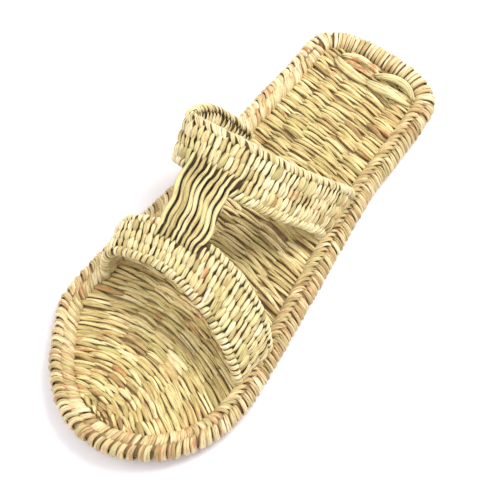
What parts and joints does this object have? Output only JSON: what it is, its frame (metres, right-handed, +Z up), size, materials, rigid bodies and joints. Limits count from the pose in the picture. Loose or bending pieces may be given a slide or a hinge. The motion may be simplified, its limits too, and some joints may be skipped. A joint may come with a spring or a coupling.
{
  "type": "woven straw slide sandal",
  "caption": "Left-foot slide woven from straw: flat bound sole with two cross straps joined by a lengthwise bar over the open foot space.",
  "frame": {"origin": "on the floor under the middle of the sandal's own box", "axes": "+Z up from the floor, +Y from heel to toe, +X towards the inner side of the left foot"},
  "size_m": [0.1046, 0.265, 0.0617],
  "materials": {
    "footbed_straw": "matt woven straw, olive buff with dark gaps between the strands",
    "rope_straw": "satin straw wraps over a core, buff with tan flecks",
    "binding_straw": "satin straw, close narrow wraps, pale buff",
    "braid_straw": "satin straw, fat sage green leaves with orange streaks",
    "upper_straw": "satin woven straw, pale cream with tan flecks and dark gaps"
  },
  "bodies": {
    "root": {"sole": "footbed_straw", "edge_rope": "rope_straw", "heel_binding": "binding_straw", "heel_braid": "braid_straw", "upper": "upper_straw"}
  },
  "joints": []
}
